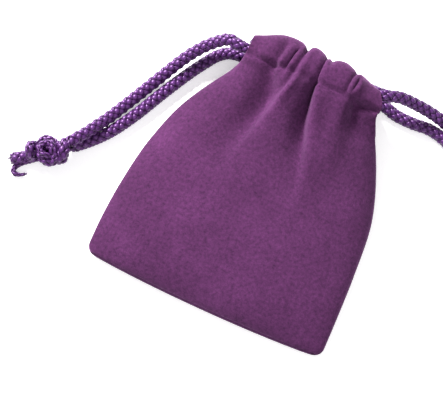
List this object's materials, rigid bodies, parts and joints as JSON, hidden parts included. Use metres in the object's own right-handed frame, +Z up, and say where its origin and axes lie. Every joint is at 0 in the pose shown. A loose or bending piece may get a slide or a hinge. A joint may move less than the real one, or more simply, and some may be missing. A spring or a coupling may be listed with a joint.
{
  "type": "drawstring dice bag",
  "caption": "Small velvet dice pouch lying flat, mouth half drawn up by two braided cords, each knotted outside its own end of the casings.",
  "frame": {"origin": "on the surface the pouch lies on, under the middle of the pouch without its free cords", "axes": "+Y out of the mouth, +X to the right looking down on the front, +Z up off the surface"},
  "size_m": [0.1829, 0.0979, 0.018],
  "materials": {
    "velvet": "short dense pile, soft sheen, slightly mottled",
    "velvet_back": "matte knitted wrong side of the velvet",
    "cord": "shiny satin braid of eight strands",
    "thread": "spun sewing thread"
  },
  "bodies": {
    "pouch": {"front_panel": "velvet", "back_panel": "velvet", "front_casing": "velvet", "back_casing": "velvet", "left_seam_allowance": "velvet_back", "right_seam_allowance": "velvet_back", "bottom_seam_allowance": "velvet_back", "left_side_stitching": "thread", "right_side_stitching": "thread", "bottom_stitching": "thread", "front_casing_stitching": "thread", "back_casing_stitching": "thread", "left_cord_return_loop": "cord", "right_cord_return_loop": "cord"},
    "left_slider": {"left_front_cord_run": "cord", "left_back_cord_run": "cord"},
    "left_drawstring": {"left_front_strand": "cord", "left_back_strand": "cord", "left_knot": "cord", "left_stub_tail": "cord", "left_frayed_tail": "cord"},
    "right_slider": {"right_front_cord_run": "cord", "right_back_cord_run": "cord"},
    "right_drawstring": {"right_front_strand": "cord", "right_back_strand": "cord", "right_knot": "cord", "right_stub_tail": "cord", "right_frayed_tail": "cord"}
  },
  "joints": [
    {"name": "left_pull", "type": "slide", "parent": "pouch", "child": "left_slider", "axis": [-1, 0, 0], "range_m": [0, 0.02]},
    {"name": "left_swing", "type": "hinge", "parent": "left_slider", "child": "left_drawstring", "pos_m": [-0.028, 0.0399, 0.00315], "axis": [0, 0, 1], "range_deg": [-60, 0]},
    {"name": "right_pull", "type": "slide", "parent": "pouch", "child": "right_slider", "axis": [1, 0, 0], "range_m": [0, 0.02]},
    {"name": "right_swing", "type": "hinge", "parent": "right_slider", "child": "right_drawstring", "pos_m": [0.028, 0.0446, 0.00315], "axis": [0, 0, 1], "range_deg": [-20, 60]}
  ]
}
